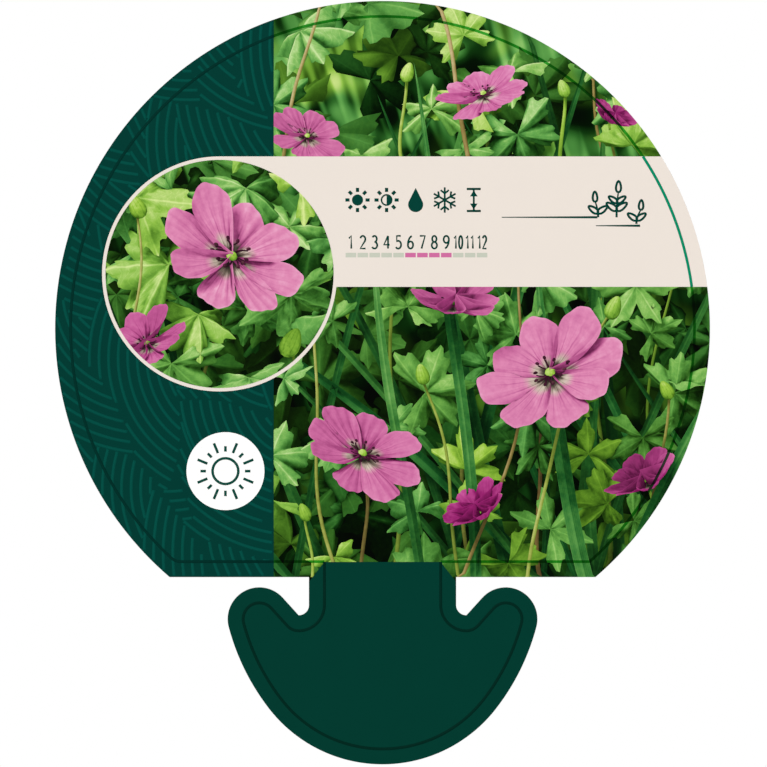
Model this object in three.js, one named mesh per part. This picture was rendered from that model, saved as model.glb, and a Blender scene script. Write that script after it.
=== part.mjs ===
// A die-cut plastic plant label for the rim of a flower pot: a round printed head, a short neck and an
// anchor-shaped tongue, all one flat sheet of polypropylene. The tongue goes through the slot in the pot's
// rim, and its two barbs stop it from being pulled out again.
//
// Millimetres, +Z up. The sheet stands upright with its printed front facing -Y. The origin is on the back
// face, in the middle of the neck, at the height of the head's straight lower edge, which rests on the rim.

import * as THREE from "three";

// The sheet
const THICKNESS = 0.5;

// The head: a disc that is cut off straight along Z = 0
const HEAD_RADIUS = 44.5;
const HEAD_CENTRE_Z = 33.8;

// The neck, and the notch on each side of it that takes the rim's slot
const NECK_WIDTH = 20;
const NOTCH_DEPTH = 5.2;
const NOTCH_ROOT_RADIUS = 1.4;

// The barbs: a round shoulder on each side of the tongue
const BARB_RADIUS = 4.3;
const BARB_CENTRE_X = 16.75;
const BARB_CENTRE_Z = -5.7;

// The tongue below the barbs: a shallow arc down each side and a round end, each tangent to the next
const TONGUE_DEPTH = 25.45;
const TONGUE_SIDE_RADIUS = 31;
const TONGUE_END_RADIUS = 19.5;

// How far an arc may stand off the chords that follow it
const CHORD_ERROR = 0.004;

// Points along an arc about centre, both ends included. The angles are in radians, and the arc turns
// counter-clockwise where end is larger than start.
function arc(centre, radius, start, end) {
  const largestStep = 2 * Math.acos(1 - CHORD_ERROR / radius);
  const steps = Math.ceil(Math.abs(end - start) / largestStep);
  return Array.from({ length: steps + 1 }, (_, i) => {
    const angle = start + ((end - start) * i) / steps;
    return new THREE.Vector2(Math.cos(angle), Math.sin(angle)).multiplyScalar(radius).add(centre);
  });
}

// The centre of a circle of the given radius that holds two smaller circles and touches each from inside.
// Both answers are mirror images about the line of the two centres, and this is the one on its left.
function centreAround(a, radiusA, b, radiusB, radius) {
  const reachA = radius - radiusA;
  const reachB = radius - radiusB;
  const line = b.clone().sub(a);
  const span = line.length();
  line.normalize();
  const along = (reachA * reachA - reachB * reachB + span * span) / (2 * span);
  const aside = Math.sqrt(reachA * reachA - along * along);
  const left = new THREE.Vector2(-line.y, line.x);
  return a.clone().addScaledVector(line, along).addScaledVector(left, aside);
}

// The direction from one point to another, as an angle between 0 and a full turn
function angleTo(from, to) {
  return to.clone().sub(from).angle();
}

// The left half of the tongue, from the neck at Z = 0 round the notch and the barb to the tip at X = 0
function leftHalfOfTongue() {
  const notchRoot = new THREE.Vector2(-NECK_WIDTH / 2 - NOTCH_ROOT_RADIUS, -NOTCH_DEPTH + NOTCH_ROOT_RADIUS);
  const notchFloor = new THREE.Vector2(notchRoot.x, -NOTCH_DEPTH);
  const barb = new THREE.Vector2(-BARB_CENTRE_X, BARB_CENTRE_Z);
  const end = new THREE.Vector2(0, TONGUE_END_RADIUS - TONGUE_DEPTH);
  const side = centreAround(barb, BARB_RADIUS, end, TONGUE_END_RADIUS, TONGUE_SIDE_RADIUS);

  // From the notch's floor a straight edge runs up to the barb and touches it where the radius is square to it
  const toFloor = Math.acos(BARB_RADIUS / barb.distanceTo(notchFloor));
  const barbStart = angleTo(barb, notchFloor) + toFloor;
  const barbEnd = angleTo(side, barb);
  const sideEnd = angleTo(side, end);

  return [
    new THREE.Vector2(-NECK_WIDTH / 2, 0),
    ...arc(notchRoot, NOTCH_ROOT_RADIUS, 0, -Math.PI / 2),
    ...arc(barb, BARB_RADIUS, barbStart, barbEnd),
    ...arc(side, TONGUE_SIDE_RADIUS, barbEnd, sideEnd).slice(1),
    ...arc(end, TONGUE_END_RADIUS, sideEnd, 1.5 * Math.PI).slice(1),
  ];
}

// The head's arc, counter-clockwise from its lower right corner to its lower left one
function headArc() {
  const belowLevel = Math.asin(HEAD_CENTRE_Z / HEAD_RADIUS);
  return arc(new THREE.Vector2(0, HEAD_CENTRE_Z), HEAD_RADIUS, -belowLevel, Math.PI + belowLevel);
}

// The whole outline, counter-clockwise as seen from the printed front
function outline() {
  const left = leftHalfOfTongue();
  const right = left
    .slice(0, -1)
    .reverse()
    .map((p) => new THREE.Vector2(-p.x, p.y));
  return [...left, ...right, ...headArc()];
}

// The sheet, extruded from its outline and stood up so that its thickness runs from Y = 0 to -THICKNESS
function labelSheet() {
  const geometry = new THREE.ExtrudeGeometry(new THREE.Shape(outline()), {
    depth: THICKNESS,
    bevelEnabled: false,
    steps: 1,
  });
  const material = new THREE.MeshStandardMaterial({
    name: "white_polypropylene",
    color: 0xf4f4f0,
    roughness: 0.45,
    metalness: 0,
  });
  const mesh = new THREE.Mesh(geometry, material);
  mesh.name = "label_sheet";
  mesh.rotation.x = Math.PI / 2;
  return mesh;
}

const group = new THREE.Group();
group.name = "pot_label";
group.add(labelSheet());

export default group;
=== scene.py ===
"""A die-cut plastic plant label for the rim of a flower pot, with its print built up in thin films of ink.

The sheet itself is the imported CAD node. Everything else here is print: a picture of blossoms and foliage, a
side band with wave lines, a cream band with pictograms, a round inset picture, and a dark green tongue.
"""

import math
import random

import bmesh
import bpy
import numpy as np
from mathutils import Matrix, Vector


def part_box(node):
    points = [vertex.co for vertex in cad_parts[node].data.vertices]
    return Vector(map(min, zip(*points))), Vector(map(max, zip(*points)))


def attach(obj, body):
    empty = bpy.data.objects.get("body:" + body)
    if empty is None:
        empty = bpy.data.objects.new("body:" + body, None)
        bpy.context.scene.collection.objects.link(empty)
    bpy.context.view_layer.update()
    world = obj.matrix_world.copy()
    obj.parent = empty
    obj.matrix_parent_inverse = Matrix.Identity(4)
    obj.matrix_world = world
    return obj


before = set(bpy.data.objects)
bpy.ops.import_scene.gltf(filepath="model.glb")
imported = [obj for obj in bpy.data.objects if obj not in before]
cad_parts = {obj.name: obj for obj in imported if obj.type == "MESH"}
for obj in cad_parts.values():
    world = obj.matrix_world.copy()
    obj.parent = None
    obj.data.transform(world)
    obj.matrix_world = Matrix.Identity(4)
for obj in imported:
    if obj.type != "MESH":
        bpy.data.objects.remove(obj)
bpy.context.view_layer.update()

# ---- Sizes ----
#
# In millimetres, in the label's own plane: X to the right, Z up, height out of the printed front.

MM = 0.001
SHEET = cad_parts["label_sheet"]
SHEET_LOW, SHEET_HIGH = (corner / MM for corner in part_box("label_sheet"))

FRONT_Y = SHEET_LOW.y
HEAD_RADIUS = SHEET_HIGH.x
HEAD_CENTRE = (0.0, SHEET_HIGH.z - HEAD_RADIUS)
NECK_HALF = 10.0

# The layout of the print
SIDE_BAND_EDGE = -14.8
CREAM_TOP = 57.17
CREAM_BOTTOM = 39.45
INSET_CENTRE = (-22.15, 41.2)
INSET_RADIUS = 15.5
RING_WIDTH = 0.47
TONGUE_PRINT_TOP = 2.05
TONGUE_PRINT_HALF = 7.9
TONGUE_PRINT_FOOT = -0.65
BADGE_CENTRE = (-21.35, 14.4)
BADGE_RADIUS = 5.3
KEYLINE_INSET = 2.1
KEYLINE_WIDTH = 0.38
KEYLINE_CORNER = 2.0

# Heights of the films above the bare sheet. The lowest undersides just clear it
LOWEST = 0.0005
INK = 0.002
PICTURE_GROUND = 0.005
FLAT_TOP = 0.056
WAVE_TOP = 0.058
CREAM_FACE = 0.063
FINE_PRINT = 0.067
BADGE_LINES = 0.071

# What is printed on another film reaches down into it by the thickness of its ink
ON_FLAT = FLAT_TOP - INK
ON_CREAM = CREAM_FACE - INK

# Lines that cross lie this far over each other, in turns of so many
LINE_STEP = 0.0004
LINE_TURNS = 7

# Points this close are one point, in metres in a mesh and in millimetres along a path
SAME_PLACE = 1e-6

# The picture is modelled this deep, and pressed flat by this much
PICTURE_DEPTH = 48.0
RELIEF = 0.0007

# ---- Node graphs written as expressions ----


def both_ways(operation):
    """What an operator does with a Value on its left, and with a Value on its right."""
    return (lambda self, other: self.graph.math(operation, self, other),
            lambda self, other: self.graph.math(operation, other, self))


class Value:
    """An output socket. Arithmetic on it adds Math nodes to its graph."""

    __add__, __radd__ = both_ways("ADD")
    __sub__, __rsub__ = both_ways("SUBTRACT")
    __mul__, __rmul__ = both_ways("MULTIPLY")
    __truediv__, __rtruediv__ = both_ways("DIVIDE")
    __pow__, __rpow__ = both_ways("POWER")
    __lt__, __gt__ = both_ways("LESS_THAN")

    def __init__(self, graph, socket):
        self.graph = graph
        self.socket = socket

    def __neg__(self):
        return self * -1.0


class Graph:
    """A node tree, shader or geometry, and the few ways of adding to it that this script uses."""

    def __init__(self, tree):
        self.tree = tree

    def feed(self, socket, value):
        if isinstance(value, Value):
            self.tree.links.new(value.socket, socket)
        else:
            socket.default_value = value

    def node(self, kind, inputs=None, **settings):
        """Adds one node: its settings first, then values or links by socket name or number."""
        made = self.tree.nodes.new(kind)
        for key, value in settings.items():
            setattr(made, key, value)
        for key, value in (inputs or {}).items():
            self.feed(made.inputs[key], value)
        return made

    def get(self, kind, inputs=None, output=0, **settings):
        """The same, and gives one of the node's outputs."""
        return Value(self, self.node(kind, inputs, **settings).outputs[output])

    def math(self, operation, *values, clamp=False):
        return self.get("ShaderNodeMath", dict(enumerate(values)), operation=operation, use_clamp=clamp)

    def clamp(self, value):
        return self.math("ADD", value, 0.0, clamp=True)

    def sin(self, value):
        return self.math("SINE", value)

    def cos(self, value):
        return self.math("COSINE", value)

    def abs(self, value):
        return self.math("ABSOLUTE", value)

    def largest(self, a, b):
        return self.math("MAXIMUM", a, b)

    def smallest(self, a, b):
        return self.math("MINIMUM", a, b)

    def vector(self, operation, *vectors, output="Vector"):
        """A vector worked out from vectors."""
        return self.get("ShaderNodeVectorMath", dict(enumerate(vectors)), output, operation=operation)

    def measure(self, operation, *vectors):
        """A number worked out from vectors."""
        return self.vector(operation, *vectors, output="Value")

    def scaled(self, vector, factor):
        return self.get("ShaderNodeVectorMath", {0: vector, "Scale": factor}, operation="SCALE")

    def turned(self, vector, axis, angle):
        """A vector turned about X, Y or Z by an angle in radians."""
        inputs = {"Vector": vector, "Angle": angle}
        return self.get("ShaderNodeVectorRotate", inputs, rotation_type=axis + "_AXIS")

    def join_xyz(self, x, y, z):
        return self.get("ShaderNodeCombineXYZ", {0: x, 1: y, 2: z})

    def split_xyz(self, vector):
        made = self.node("ShaderNodeSeparateXYZ", {0: vector})
        return [Value(self, made.outputs[i]) for i in range(3)]

    def smooth(self, value, low, high):
        """0 below low, 1 above high, and a smooth step between. Low may be the larger of the two."""
        inputs = {"Value": value, "From Min": low, "From Max": high}
        return self.get("ShaderNodeMapRange", inputs, interpolation_type="SMOOTHSTEP")

    def mix(self, factor, a, b, blend="MIX"):
        """Mixes two colours."""
        inputs = {0: factor, 6: a, 7: b}
        return self.get("ShaderNodeMix", inputs, 2, data_type="RGBA", blend_type=blend)

    def shaded(self, colour, strength):
        """A colour made darker or lighter by a number."""
        return self.mix(1.0, colour, self.join_xyz(strength, strength, strength), "MULTIPLY")

    def ramp(self, value, stops):
        """A colour ramp whose stops are (position, colour)."""
        made = self.node("ShaderNodeValToRGB", {0: value})
        elements = made.color_ramp.elements
        for spare in list(elements)[1:]:
            elements.remove(spare)
        elements[0].position, elements[0].color = stops[0]
        for position, colour in stops[1:]:
            elements.new(position).color = colour
        return Value(self, made.outputs[0])

    def attribute(self, name):
        """A number that the mesh carries on its points, in a shader."""
        return self.get("ShaderNodeAttribute", output="Fac", attribute_name=name)

    def noise(self, vector, scale, detail=2.0, roughness=0.5):
        inputs = {"Vector": vector, "Scale": scale, "Detail": detail, "Roughness": roughness}
        return self.get("ShaderNodeTexNoise", inputs)


def srgb(red, green, blue):
    """An ink's colour from its screen values, as the linear colour that the nodes use."""

    def linear(value):
        part = value / 255
        return part / 12.92 if part <= 0.04045 else ((part + 0.055) / 1.055) ** 2.4

    return (linear(red), linear(green), linear(blue), 1.0)


# ---- Films of ink ----


def y_at(height):
    """The Y, in metres, of a height above the printed front."""
    return (FRONT_Y - height) * MM


def sheet_outline():
    """The cut edge of the sheet as (x, z) points in millimetres, counter-clockwise from the front."""
    bm = bmesh.new()
    bm.from_mesh(SHEET.data)
    bmesh.ops.remove_doubles(bm, verts=bm.verts, dist=SAME_PLACE)
    square_to_front = -0.9
    edge_and_back = [face for face in bm.faces if face.normal.y > square_to_front]
    bmesh.ops.delete(bm, geom=edge_and_back, context="FACES")
    rim = {}
    for face in bm.faces:
        for loop in face.loops:
            if loop.edge.is_boundary:
                start, end = loop.vert, loop.link_loop_next.vert
                rim[start.index] = (end.index, start.co.x / MM, start.co.z / MM)
    first = here = next(iter(rim))
    points = []
    while not points or here != first:
        here, x, z = rim[here]
        points.append((x, z))
    bm.free()
    return points


def finish_piece(name, bm, material):
    """Turns a bmesh in metres into a piece of the print."""
    mesh = bpy.data.meshes.new(name)
    bm.to_mesh(mesh)
    bm.free()
    mesh.materials.clear()
    mesh.materials.append(material)
    piece = bpy.data.objects.new(name, mesh)
    bpy.context.scene.collection.objects.link(piece)
    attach(piece, "root")


def close_films(bm, base):
    """Gives open films, which face -Y, a flat underside at the base height, and walls round their rims.

    The faces themselves become the underside and are turned over. Their copies stay in front."""
    under = bm.verts[:]
    bmesh.ops.extrude_face_region(bm, geom=bm.faces[:], use_keep_orig=True)
    for vert in under:
        vert.co.y = y_at(base)


def film(name, shapes, top, material, base=LOWEST):
    """A flat film: every shape is a list of (x, z) points, counter-clockwise from the front."""
    bm = bmesh.new()
    for shape in shapes:
        bm.faces.new([bm.verts.new((x * MM, y_at(top), z * MM)) for x, z in shape])
    close_films(bm, base)
    finish_piece(name, bm, material)


def pressed_film(name, mesh, material, base):
    """Closes pressed faces as films. Faces that turned over, or meet others only in a point, are cut free."""
    bm = bmesh.new()
    bm.from_mesh(mesh)
    bmesh.ops.triangulate(bm, faces=bm.faces)
    slimmest = 1e-8
    bmesh.ops.dissolve_degenerate(bm, dist=slimmest, edges=bm.edges)
    bm.normal_update()
    bmesh.ops.reverse_faces(bm, faces=[face for face in bm.faces if face.normal.y > 0])
    bmesh.ops.split_edges(bm, edges=[edge for edge in bm.edges if not edge.is_contiguous])
    for vert in [vert for vert in bm.verts if not vert.is_manifold]:
        bmesh.utils.vert_separate(vert, ())
    close_films(bm, base)
    finish_piece(name, bm, material)


def circle(centre, radius, start=0.0, end=360.0, step=3.0):
    """Points along an arc, in millimetres and degrees. A full circle doesn't repeat its first point."""
    count = max(2, math.ceil(abs(end - start) / step))
    closed = abs(end - start) >= 360
    turns = [math.radians(start + (end - start) * i / count) for i in range(count + (not closed))]
    return [(centre[0] + radius * math.cos(a), centre[1] + radius * math.sin(a)) for a in turns]


def way_at(turn):
    """A step of one millimetre in the direction of an angle in radians."""
    return Vector((math.cos(turn), math.sin(turn)))


OUTLINE = sheet_outline()


# ---- Materials ----

INK_ROUGHNESS = 0.5
INK_SPECULAR = 0.02


def new_material(name, specular=INK_SPECULAR):
    """A material with its Principled BSDF, and the graph to build its pattern in."""
    made = bpy.data.materials.new(name)
    made.use_nodes = True
    shader = made.node_tree.nodes["Principled BSDF"]
    shader.inputs["Specular IOR Level"].default_value = specular
    return made, shader, Graph(made.node_tree)


def object_position(graph):
    """The place on the label, in millimetres."""
    return graph.scaled(graph.get("ShaderNodeTexCoord", output="Object"), 1 / MM)


def flat_ink(name, colour, mottle=0.04):
    """A solid ink, with the faint mottle of its drying and a finer tooth that the varnish leaves."""
    made, shader, g = new_material(name)
    place = object_position(g)
    clouds = g.noise(place, 0.18, detail=3.0)
    tooth = g.noise(place, 4.2, detail=2.0)
    strength = 1.0 + (clouds - 0.5) * mottle * 2 + (tooth - 0.5) * mottle
    g.feed(shader.inputs["Base Color"], g.shaded(colour, strength))
    g.feed(shader.inputs["Roughness"], INK_ROUGHNESS + (tooth - 0.5) * 0.12)
    return made


def sheet_plastic():
    """White polypropylene, satin, with a fine rolled grain, where the dark inks show through faintly."""
    made, shader, g = new_material("white_polypropylene", 0.4)
    place = object_position(g)
    x, _, z = g.split_xyz(place)
    blur = 0.9
    on_band = g.smooth(x, SIDE_BAND_EDGE + blur, SIDE_BAND_EDGE - blur)
    on_tongue = g.smooth(z, TONGUE_PRINT_TOP + blur, TONGUE_PRINT_TOP - blur)
    on_cream = g.smooth(z, CREAM_BOTTOM - blur, CREAM_BOTTOM + blur)
    on_cream = on_cream * g.smooth(z, CREAM_TOP + blur, CREAM_TOP - blur)
    on_picture = 0.7 * (1.0 - on_cream)
    print_behind = g.largest(g.largest(on_band, on_tongue), on_picture)
    colour = g.mix(print_behind, srgb(242, 242, 239), srgb(232, 234, 230))
    clouds = g.noise(place, 0.35, detail=4.0)
    rolled = g.noise(g.vector("MULTIPLY", place, (5.0, 5.0, 1.2)), 1.0, detail=3.0)
    strength = 1.0 + (clouds - 0.5) * 0.02 + (rolled - 0.5) * 0.03
    g.feed(shader.inputs["Base Color"], g.shaded(colour, strength))
    g.feed(shader.inputs["Roughness"], 0.34 + rolled * 0.16)
    bump = g.get("ShaderNodeBump", {"Strength": 0.12, "Distance": 0.00002, "Height": rolled})
    g.feed(shader.inputs["Normal"], bump)
    return made


# ---- The picture's plants, grown by geometry nodes ----
#
# Each plant part is shaped and turned as a solid thing in front of the label, in millimetres, with its depth
# along Z. Its shading is worked out there and kept as an attribute. Then it is pressed flat into its film.

# The numbers that each plant part carries
PLANT_NUMBERS = ("size", "spin", "tilt", "heading", "tone", "hue", "bend", "wide", "lift", "seed")

GRID_INPUTS = {"Points across": "Int", "Points along": "Int"}
PRESS_INPUTS = {
    "Window X": "Float", "Window Z": "Float", "Window radius": "Float", "Window floor": "Float",
    "Film base": "Float", "Relief": "Float", "Thicket": "Object",
}

# Where the picture's light comes from, and how far its shadows and its gloom reach, in millimetres
SUN = Vector((-0.42, 0.62, 0.66)).normalized()
SUN_RAYS = 6
SUN_SPREAD = 0.13
SUN_REACH = 40.0
SKY_RAYS = 8
SKY_REACH = 22.0
SKY_FROM_ABOVE = 0.4
SKY_STEEPNESS = (1.5, 0.8)
RAY_START = 0.30

# A plant at the end of a ray's reach takes this much less of its light than one close by
FAR_LOSS = 0.6


def geometry_tree(name, inputs):
    """A geometry tree with a geometry input, named inputs of other kinds, and one geometry output."""
    tree = bpy.data.node_groups.new(name, "GeometryNodeTree")
    tree.interface.new_socket("Geometry", in_out="OUTPUT", socket_type="NodeSocketGeometry")
    for key, kind in {"Geometry": "Geometry", **inputs}.items():
        tree.interface.new_socket(key, in_out="INPUT", socket_type="NodeSocket" + kind)
    graph = Graph(tree)
    source = graph.node("NodeGroupInput")
    return graph, {socket.name: Value(graph, socket) for socket in source.outputs if socket.name}


def end_tree(g, geometry, material):
    whole = g.get("GeometryNodeRealizeInstances", {0: geometry})
    inked = g.get("GeometryNodeSetMaterial", {"Geometry": whole, "Material": material})
    g.node("NodeGroupOutput", {0: inked})
    return g.tree


def evaluated(tree, source, values):
    """The plain mesh that a geometry tree makes of a source mesh with these input values."""
    holder = bpy.data.objects.new("source", source)
    bpy.context.scene.collection.objects.link(holder)
    modifier = holder.modifiers.new("growth", "NODES")
    modifier.node_group = tree
    for item in tree.interface.items_tree:
        if item.in_out == "INPUT" and item.name in values:
            modifier[item.identifier] = values[item.name]
    depsgraph = bpy.context.evaluated_depsgraph_get()
    mesh = bpy.data.meshes.new_from_object(holder.evaluated_get(depsgraph), depsgraph=depsgraph)
    bpy.data.objects.remove(holder)
    return mesh


def named(g, name, kind="FLOAT"):
    """An attribute of the points, in a geometry tree."""
    return g.get("GeometryNodeInputNamedAttribute", {"Name": name}, "Attribute", data_type=kind)


def stored(g, geometry, kind="FLOAT", **values):
    """Keeps values on the points, as attributes of these names."""
    for name, value in values.items():
        inputs = {"Geometry": geometry, "Name": name, "Value": value}
        geometry = g.get("GeometryNodeStoreNamedAttribute", inputs, data_type=kind, domain="POINT")
    return geometry


class Plant:
    """The numbers that each plant part carries, each read as an attribute by its name."""

    def __init__(self, graph):
        self.graph = graph

    def __getattr__(self, name):
        return named(self.graph, name)


def growing_tree(name, shape, material):
    """Turns points into plant parts of one shape, in millimetres, with X and Y across and Z to the viewer."""
    g, given = geometry_tree(name, GRID_INPUTS)
    plant = Plant(g)

    counts = {"Vertices X": given["Points across"], "Vertices Y": given["Points along"]}
    patch = g.get("GeometryNodeMeshGrid", {"Size X": 2.0, "Size Y": 1.0, **counts})
    across, along, _ = g.split_xyz(g.get("GeometryNodeInputPosition"))
    patch = stored(g, patch, across=across, along=along + 0.5)

    spots = stored(g, given["Geometry"], "FLOAT_VECTOR", spot=g.get("GeometryNodeInputPosition"))
    parts = g.get("GeometryNodeInstanceOnPoints", {"Points": spots, "Instance": patch})
    parts = g.get("GeometryNodeRealizeInstances", {0: parts})

    place = shape(g, plant.across, plant.along, plant)
    place = g.turned(g.scaled(place, plant.size), "Z", plant.spin)
    place = g.turned(g.turned(place, "X", plant.tilt), "Z", plant.heading)
    place = g.vector("ADD", place, named(g, "spot", "FLOAT_VECTOR"))
    parts = g.get("GeometryNodeSetPosition", {"Geometry": parts, "Position": place})
    parts = g.get("GeometryNodeMergeByDistance", {"Geometry": parts, "Distance": 0.001})
    return end_tree(g, parts, material)


def sun_ways():
    """The directions of a narrow cone of light round the sun's."""
    side = SUN.orthogonal().normalized()
    rise = SUN.cross(SUN.orthogonal()).normalized()
    turns = [2 * math.pi * i / SUN_RAYS for i in range(SUN_RAYS)]
    return [(SUN + (side * math.cos(a) + rise * math.sin(a)) * SUN_SPREAD).normalized() for a in turns]


def sky_ways():
    """The directions of the sky's light, by turns steep and slanting, and more of it from above."""
    ways = []
    for i in range(SKY_RAYS):
        turn = 2 * math.pi * i / SKY_RAYS
        way = Vector((math.cos(turn), math.sin(turn) + SKY_FROM_ABOVE, SKY_STEEPNESS[i % 2]))
        ways.append(way.normalized())
    return ways


def share_blocked(g, thicket, place, ways, reach):
    """How much of the light from these directions the thicket takes away."""
    share = 0.0
    for way in ways:
        start = g.vector("ADD", place, tuple(way * RAY_START))
        inputs = {"Target Geometry": thicket, "Source Position": start, "Ray Direction": tuple(way)}
        ray = g.node("GeometryNodeRaycast", {**inputs, "Ray Length": reach})
        hit, distance = (Value(g, ray.outputs[key]) for key in ("Is Hit", "Hit Distance"))
        share = share + hit * (1.0 - distance / reach * FAR_LOSS) / len(ways)
    return share


def pressing_tree(name, material):
    """Works out the light on plant parts, then cuts them to a round window and presses them flat."""
    g, given = geometry_tree(name, PRESS_INPUTS)
    inputs = {"Object": given["Thicket"]}
    thicket = g.get("GeometryNodeObjectInfo", inputs, "Geometry", transform_space="ORIGINAL")
    place = g.get("GeometryNodeInputPosition")
    normal = g.get("GeometryNodeInputNormal")

    to_viewer = (g.split_xyz(normal)[2] > 0.0) * 2.0 - 1.0
    facing = g.measure("DOT_PRODUCT", normal, tuple(SUN)) * to_viewer
    sunny = 1.0 - share_blocked(g, thicket, place, sun_ways(), SUN_REACH)
    sky = 1.0 - share_blocked(g, thicket, place, sky_ways(), SKY_REACH)
    sunlight, glow = (g.largest(side, 0.0) * sunny for side in (facing, -facing))

    x, z, depth = g.split_xyz(place)
    offset = g.join_xyz(x - given["Window X"], g.largest(z, given["Window floor"]) - given["Window Z"], 0.0)
    reach = g.measure("LENGTH", offset)
    outside = g.largest(reach > given["Window radius"], z < given["Window floor"])
    parts = given["Geometry"]
    parts = stored(g, parts, sunlight=sunlight, glow=glow, sky=sky, outside=outside, depth=depth)
    shrink = g.smallest(given["Window radius"] / g.largest(reach, 0.001), 1.0)
    x, z, _ = g.split_xyz(g.scaled(offset, shrink))
    x = (x + given["Window X"]) * MM
    z = (z + given["Window Z"]) * MM
    height = given["Film base"] + (depth + PICTURE_DEPTH) * given["Relief"]
    pressed = g.join_xyz(x, (FRONT_Y - height) * MM, z)
    parts = g.get("GeometryNodeSetPosition", {"Geometry": parts, "Position": pressed})
    all_corners = 0.99
    cut = {"Geometry": parts, "Selection": named(g, "outside") > all_corners}
    parts = g.get("GeometryNodeDeleteGeometry", cut, domain="FACE")
    return end_tree(g, parts, material)


# How far round its stalk a lobed leaf opens to each side, in radians, and how fast its lobes follow
LEAF_FAN = 2.45
LOBE_TURNS = 6.0


def lobed_leaf(g, u, v, plant):
    """A leaf of five toothed lobes that open round its stalk."""
    turn = u * LEAF_FAN
    lobes = (g.cos(turn * LOBE_TURNS) * 0.5 + 0.5) ** 0.7
    saw = g.cos(turn * (3 * LOBE_TURNS) + g.sin(turn * LOBE_TURNS) * 0.6) * 0.5 + 0.5
    teeth = saw * (0.09 + 0.07 * lobes)
    uneven = 0.05 * g.sin(turn + plant.seed)
    reach = plant.wide + (0.80 - plant.wide) * lobes + teeth - g.abs(u) * 0.14 + uneven
    droop = v * v * (plant.bend + 0.14 * g.sin(turn * 2.0 + plant.seed * 3.0))
    fold = g.cos(turn * LOBE_TURNS) * v * 0.07 + 0.015 * g.sin(v * 21.0 + turn * 3.0)
    return g.join_xyz(g.sin(turn) * reach * v, g.cos(turn) * reach * v, fold - droop)


def blade(g, u, v, plant):
    """A long strap leaf that bends sideways and narrows to its tip, creased along its middle."""
    half = plant.wide * g.smallest((1.0 - v) * 2.2, 1.0) ** 0.7
    sway = plant.bend * v * v + 0.006 * g.sin(v * 7.0 + plant.seed)
    return g.join_xyz(u * half + sway, v, g.abs(u) * half * 0.7 - plant.bend * v * v * 0.4)


def stalk(g, u, v, plant):
    """The front half of a thin round stalk. Close to its tip it may lift out of its plane."""
    turn = u * (math.pi / 2)
    sway = plant.bend * g.sin(v * math.pi) + 0.012 * g.sin(v * 9.0 + plant.seed)
    half = plant.wide * (1.0 - 0.35 * v)
    return g.join_xyz(g.sin(turn) * half + sway, v, g.cos(turn) * half + plant.lift * v ** 10.0)


def petal(g, u, v, plant):
    """A wedge-shaped petal with a round, faintly scalloped tip, waved and lifted along its length."""
    side = g.sin(u * (math.pi / 2))
    turn = side * plant.wide
    scallop = 1.0 - (1.0 - g.cos(side * 6.5 + plant.seed)) * 0.022
    reach = g.largest(1.0 - side * side, 0.0) ** 0.26 * scallop * v
    waves = 0.035 * v * g.sin(u * 3.2 + plant.seed * 2.0) + 0.03 * v * v * g.sin(v * 6.0 + plant.seed)
    ribs = 0.010 * v * g.cos(side * 17.0)
    lift = v * v * plant.bend - side * side * v * 0.10 + waves + ribs
    return g.join_xyz(g.sin(turn) * reach, g.cos(turn) * reach, lift)


def dome(g, u, v, plant):
    """A round or egg-shaped body, such as a blossom's heart or a bud."""
    turn = u * math.pi
    narrow = plant.wide * (1.0 - plant.bend * g.cos(turn) * v)
    height = (1.0 - v * v * 0.98) ** 0.5
    return g.join_xyz(g.sin(turn) * v * narrow, g.cos(turn) * v, height * 0.8)


def plants_mesh(rows):
    """Points that carry the numbers of each plant part. A row gives x, z, depth and PLANT_NUMBERS."""
    mesh = bpy.data.meshes.new("plants")
    mesh.from_pydata([(row["x"], row["z"], row["depth"]) for row in rows], [], [])
    for name in PLANT_NUMBERS:
        layer = mesh.attributes.new(name, "FLOAT", "POINT")
        layer.data.foreach_set("value", [float(row.get(name, 0.0)) for row in rows])
    return mesh


# How many points the grid of each layer's plant parts has across and along
PICTURE_GRIDS = {
    "far_leaves": (41, 4),
    "near_leaves": (65, 6),
    "blades": (5, 50),
    "stalks": (7, 24),
    "buds": (17, 7),
    "petals": (41, 12),
    "stamens": (3, 5),
    "pollen": (9, 4),
}
INSET_GRIDS = {
    **PICTURE_GRIDS,
    "far_leaves": (49, 4),
    "near_leaves": (81, 7),
    "petals": (41, 16),
    "pollen": (11, 5),
}


def paint_picture(prefix, kinds, layers, grids, window, base):
    """Grows every layer of a picture, lets the layers shade each other, and presses each into a film.

    Layers gives each layer's rows of numbers by its name, and kinds its trees and its paint."""
    grown = {}
    joined = bmesh.new()
    for name, rows in layers.items():
        counts = dict(zip(GRID_INPUTS, grids[name]))
        grown[name] = evaluated(kinds[name]["growing"], plants_mesh(rows), counts)
        joined.from_mesh(grown[name])
    thicket_mesh = bpy.data.meshes.new("thicket")
    joined.to_mesh(thicket_mesh)
    joined.free()
    thicket = bpy.data.objects.new("thicket", thicket_mesh)
    bpy.context.scene.collection.objects.link(thicket)
    values = {**window, "Thicket": thicket, "Film base": base + INK, "Relief": RELIEF}
    for name, parts in grown.items():
        pressed = evaluated(kinds[name]["pressing"], parts, values)
        pressed_film(prefix + name, pressed, kinds[name]["paint"], base)
    bpy.data.objects.remove(thicket)


# ---- The picture's colours ----

# Between these depths the picture goes from gloom to full light
FAR_DEPTH = -42.0
NEAR_DEPTH = -8.0


def stops_of(*rows):
    """The stops of a colour ramp, from rows of a position and a screen colour."""
    return [(position, srgb(*colour)) for position, *colour in rows]


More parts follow.
